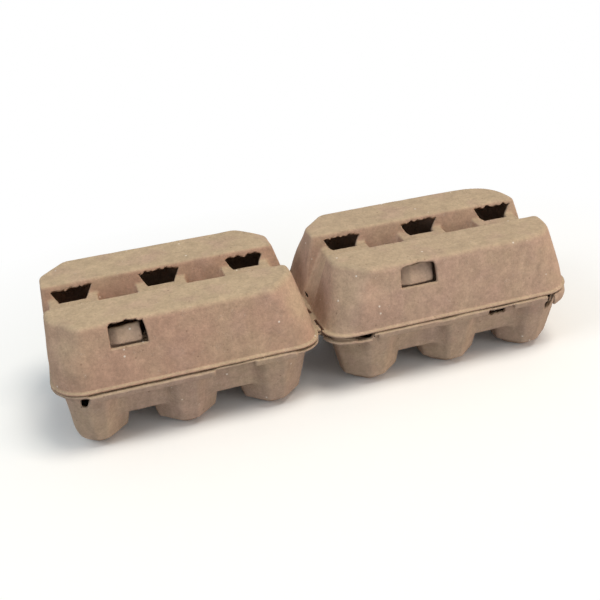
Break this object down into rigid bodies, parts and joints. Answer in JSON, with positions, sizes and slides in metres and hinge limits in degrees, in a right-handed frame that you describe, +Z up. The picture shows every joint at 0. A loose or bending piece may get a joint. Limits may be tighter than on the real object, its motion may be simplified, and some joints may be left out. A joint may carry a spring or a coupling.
{
  "type": "egg carton",
  "caption": "Closed pulp egg carton made as two smaller cartons joined end to end by a perforated tear line, with ridged lid, vents and button latches.",
  "frame": {"origin": "centre of the footprint, on the plane that the cup bottoms stand on", "axes": "+X along the carton's length, -Y towards the latch side, +Y towards the lid's fold, +Z up"},
  "size_m": [0.2984, 0.093, 0.074],
  "materials": {
    "pulp": "matte"
  },
  "bodies": {
    "root": {"tray_left": "pulp", "tray_right": "pulp", "cup_left_front_1": "pulp", "cup_left_front_2": "pulp", "cup_left_front_3": "pulp", "cup_left_rear_1": "pulp", "cup_left_rear_2": "pulp", "cup_left_rear_3": "pulp", "cup_right_front_1": "pulp", "cup_right_front_2": "pulp", "cup_right_front_3": "pulp", "cup_right_rear_1": "pulp", "cup_right_rear_2": "pulp", "cup_right_rear_3": "pulp"},
    "lid": {"lid_left": "pulp", "lid_right": "pulp"}
  },
  "joints": [
    {"name": "lid_fold", "type": "hinge", "parent": "root", "child": "lid", "pos_m": [0, 0.0465, 0.03815], "axis": [-1, 0, 0], "range_deg": [0, 180]}
  ]
}
